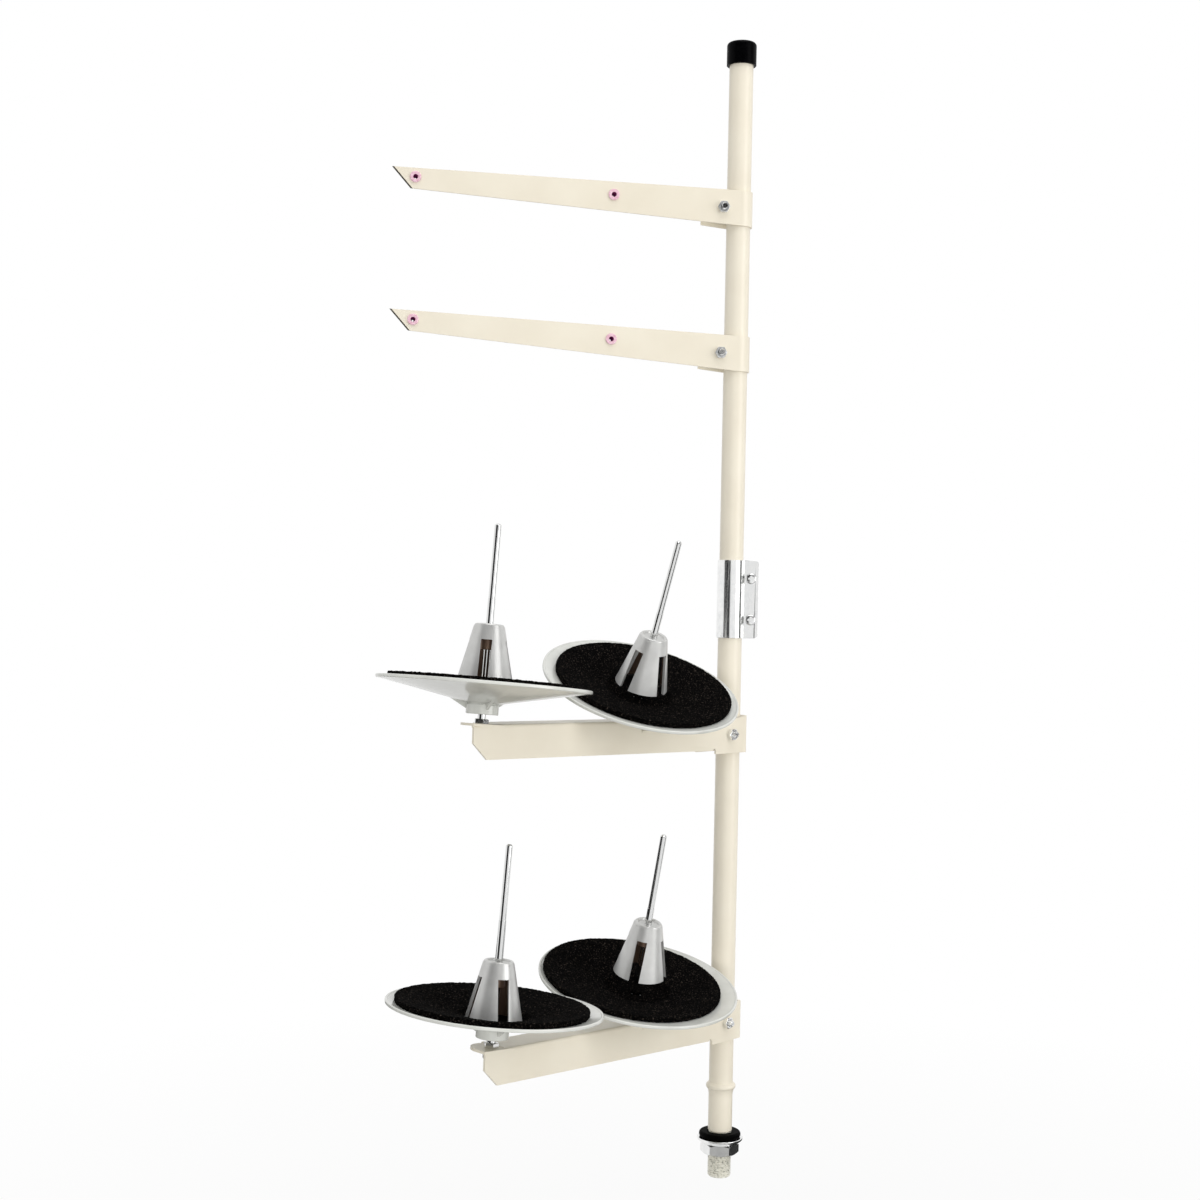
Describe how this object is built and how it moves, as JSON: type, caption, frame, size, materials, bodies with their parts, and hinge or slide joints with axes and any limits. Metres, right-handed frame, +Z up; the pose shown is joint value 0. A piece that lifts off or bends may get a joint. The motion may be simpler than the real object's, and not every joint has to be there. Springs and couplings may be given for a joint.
{
  "type": "thread stand",
  "caption": "Table-clamped thread stand: a jointed pole with swivelling guide arms with eyelets above swivelling spool arms that carry pins, dishes, foam pads and cones.",
  "frame": {"origin": "on the pole's axis at the table top, under the bead", "axes": "+Z up the pole, -X along the guide arms to their tips, -Y out of the guide arms' front plates"},
  "size_m": [0.2562, 0.2207, 0.7581],
  "materials": {
    "cream_enamel": "semi-gloss cream enamel",
    "zinc_plate": "bright zinc plate",
    "fastener_steel": "zinc-plated steel",
    "polished_steel": "polished steel",
    "black_vinyl": "soft black vinyl",
    "black_rubber": "matt black rubber",
    "ceramic": "glazed pink ceramic",
    "dish_plastic": "moulded white-grey plastic",
    "cone_plastic": "moulded light-grey plastic",
    "foam": "black open-cell foam"
  },
  "bodies": {
    "base": {"lower_tube": "cream_enamel", "tube_clamp": "zinc_plate", "tube_clamp_screws": "fastener_steel", "tube_clamp_nuts": "fastener_steel"},
    "upper_pole": {"upper_tube": "cream_enamel", "end_cap": "black_vinyl"},
    "table_nut_set": {"rubber_washer": "black_rubber", "steel_washer": "zinc_plate", "table_nut": "zinc_plate"},
    "upper_guide": {"upper_guide_arm": "cream_enamel", "upper_guide_outer_eyelet": "ceramic", "upper_guide_inner_eyelet": "ceramic", "upper_guide_screw": "fastener_steel", "upper_guide_nut": "fastener_steel"},
    "lower_guide": {"lower_guide_arm": "cream_enamel", "lower_guide_outer_eyelet": "ceramic", "lower_guide_inner_eyelet": "ceramic", "lower_guide_screw": "fastener_steel", "lower_guide_nut": "fastener_steel"},
    "upper_spool": {"upper_spool_arm": "cream_enamel", "upper_spool_set_screw": "fastener_steel", "upper_spool_set_screw_nut": "fastener_steel", "upper_outer_pin": "polished_steel", "upper_outer_seat_nut": "fastener_steel", "upper_outer_spring_washer": "fastener_steel", "upper_outer_lock_nut": "fastener_steel", "upper_inner_pin": "polished_steel", "upper_inner_seat_nut": "fastener_steel", "upper_inner_spring_washer": "fastener_steel", "upper_inner_lock_nut": "fastener_steel"},
    "lower_spool": {"lower_spool_arm": "cream_enamel", "lower_spool_set_screw": "fastener_steel", "lower_spool_set_screw_nut": "fastener_steel", "lower_outer_pin": "polished_steel", "lower_outer_seat_nut": "fastener_steel", "lower_outer_spring_washer": "fastener_steel", "lower_outer_lock_nut": "fastener_steel", "lower_inner_pin": "polished_steel", "lower_inner_seat_nut": "fastener_steel", "lower_inner_spring_washer": "fastener_steel", "lower_inner_lock_nut": "fastener_steel"},
    "upper_outer_dish": {"upper_outer_dish": "dish_plastic", "upper_outer_foam_pad": "foam"},
    "upper_outer_cone": {"upper_outer_cone": "cone_plastic"},
    "upper_inner_dish": {"upper_inner_dish": "dish_plastic", "upper_inner_foam_pad": "foam"},
    "upper_inner_cone": {"upper_inner_cone": "cone_plastic"},
    "lower_outer_dish": {"lower_outer_dish": "dish_plastic", "lower_outer_foam_pad": "foam"},
    "lower_outer_cone": {"lower_outer_cone": "cone_plastic"},
    "lower_inner_dish": {"lower_inner_dish": "dish_plastic", "lower_inner_foam_pad": "foam"},
    "lower_inner_cone": {"lower_inner_cone": "cone_plastic"}
  },
  "joints": [
    {"name": "upper_pole_slide", "type": "slide", "parent": "base", "child": "upper_pole", "axis": [0, 0, 1], "range_m": [0, 0.02]},
    {"name": "table_nut_slide", "type": "slide", "parent": "base", "child": "table_nut_set", "axis": [0, 0, -1], "range_m": [0, 0.1]},
    {"name": "upper_guide_swivel", "type": "hinge", "parent": "upper_pole", "child": "upper_guide", "pos_m": [0, 0, 0.601], "axis": [0, 0, 1], "continuous": true},
    {"name": "lower_guide_swivel", "type": "hinge", "parent": "upper_pole", "child": "lower_guide", "pos_m": [0, 0, 0.5045], "axis": [0, 0, 1], "continuous": true},
    {"name": "upper_spool_swivel", "type": "hinge", "parent": "base", "child": "upper_spool", "pos_m": [0, 0, 0.25], "axis": [0, 0, 1], "continuous": true},
    {"name": "lower_spool_swivel", "type": "hinge", "parent": "base", "child": "lower_spool", "pos_m": [0, 0, 0.0586], "axis": [0, 0, 1], "continuous": true},
    {"name": "upper_outer_dish_turn", "type": "hinge", "parent": "upper_spool", "child": "upper_outer_dish", "pos_m": [-0.17516, -0.1314, 0.2542], "axis": [0.0714, 0.0676, 0.9952], "continuous": true},
    {"name": "upper_outer_cone_slide", "type": "slide", "parent": "upper_spool", "child": "upper_outer_cone", "axis": [0.0714, 0.0676, 0.9952], "range_m": [-0.008, 0.1]},
    {"name": "upper_inner_dish_turn", "type": "hinge", "parent": "upper_spool", "child": "upper_inner_dish", "pos_m": [-0.07219, -0.04558, 0.25263], "axis": [0.1617, -0.374, 0.9132], "continuous": true},
    {"name": "upper_inner_cone_slide", "type": "slide", "parent": "upper_spool", "child": "upper_inner_cone", "axis": [0.1617, -0.374, 0.9132], "range_m": [-0.0077, 0.1]},
    {"name": "lower_outer_dish_turn", "type": "hinge", "parent": "lower_spool", "child": "lower_outer_dish", "pos_m": [-0.16648, -0.14207, 0.06663], "axis": [0.0741, 0.0255, 0.9969], "continuous": true},
    {"name": "lower_outer_cone_slide", "type": "slide", "parent": "lower_spool", "child": "lower_outer_cone", "axis": [0.0741, 0.0255, 0.9969], "range_m": [0, 0.1]},
    {"name": "lower_inner_dish_turn", "type": "hinge", "parent": "lower_spool", "child": "lower_inner_dish", "pos_m": [-0.06914, -0.04999, 0.06272], "axis": [0.1097, -0.2236, 0.9685], "continuous": true},
    {"name": "lower_inner_cone_slide", "type": "slide", "parent": "lower_spool", "child": "lower_inner_cone", "axis": [0.1097, -0.2236, 0.9685], "range_m": [-0.0135, 0.1]}
  ]
}
